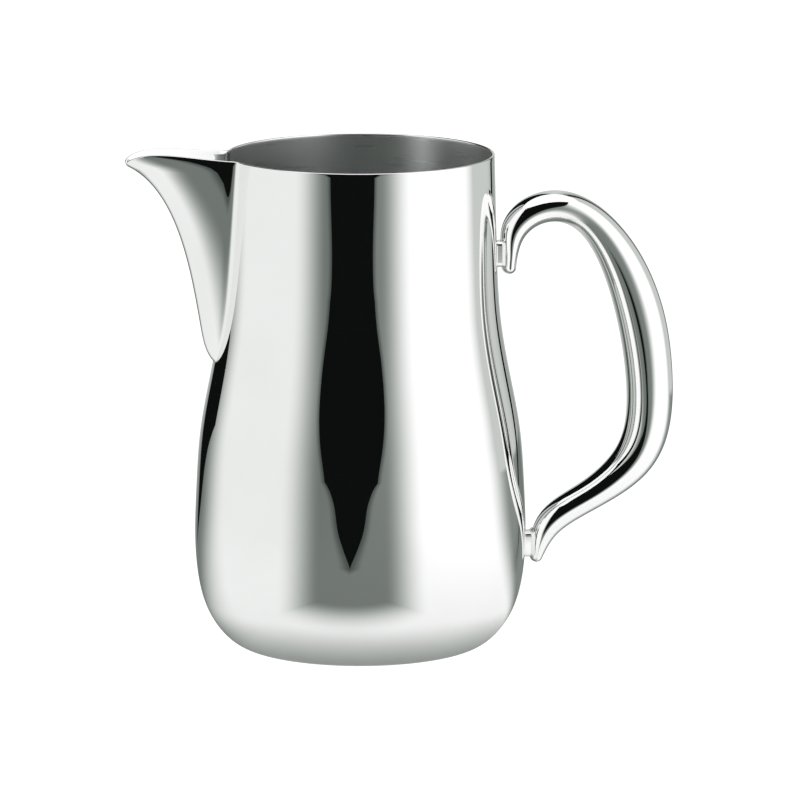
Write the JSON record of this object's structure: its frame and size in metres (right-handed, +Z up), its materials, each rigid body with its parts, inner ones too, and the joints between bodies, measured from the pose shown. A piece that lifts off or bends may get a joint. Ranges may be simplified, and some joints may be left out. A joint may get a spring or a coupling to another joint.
{
  "type": "water pitcher",
  "caption": "Open pear-shaped metal water pitcher with a wide mouth, a pressed pouring spout and a hollow loop handle stood off the body on brazed pads.",
  "frame": {"origin": "centre of the flat foot, on the body's axis", "axes": "+Z up along the body's axis, +X towards the handle, -X towards the spout"},
  "size_m": [0.2006, 0.12, 0.1824],
  "materials": {
    "polished_body": "mirror polished outside, satin inside",
    "polished_spout": "mirror polished outside, satin inside",
    "polished_handle": "mirror polished",
    "polished_pad": "polished",
    "braze": "polished filler metal"
  },
  "bodies": {
    "root": {"body_shell": "polished_body", "spout": "polished_spout", "handle_near_half": "polished_handle", "handle_far_half": "polished_handle", "upper_pad": "polished_pad", "lower_pad": "polished_pad", "upper_pad_braze": "braze", "lower_pad_braze": "braze"}
  },
  "joints": []
}
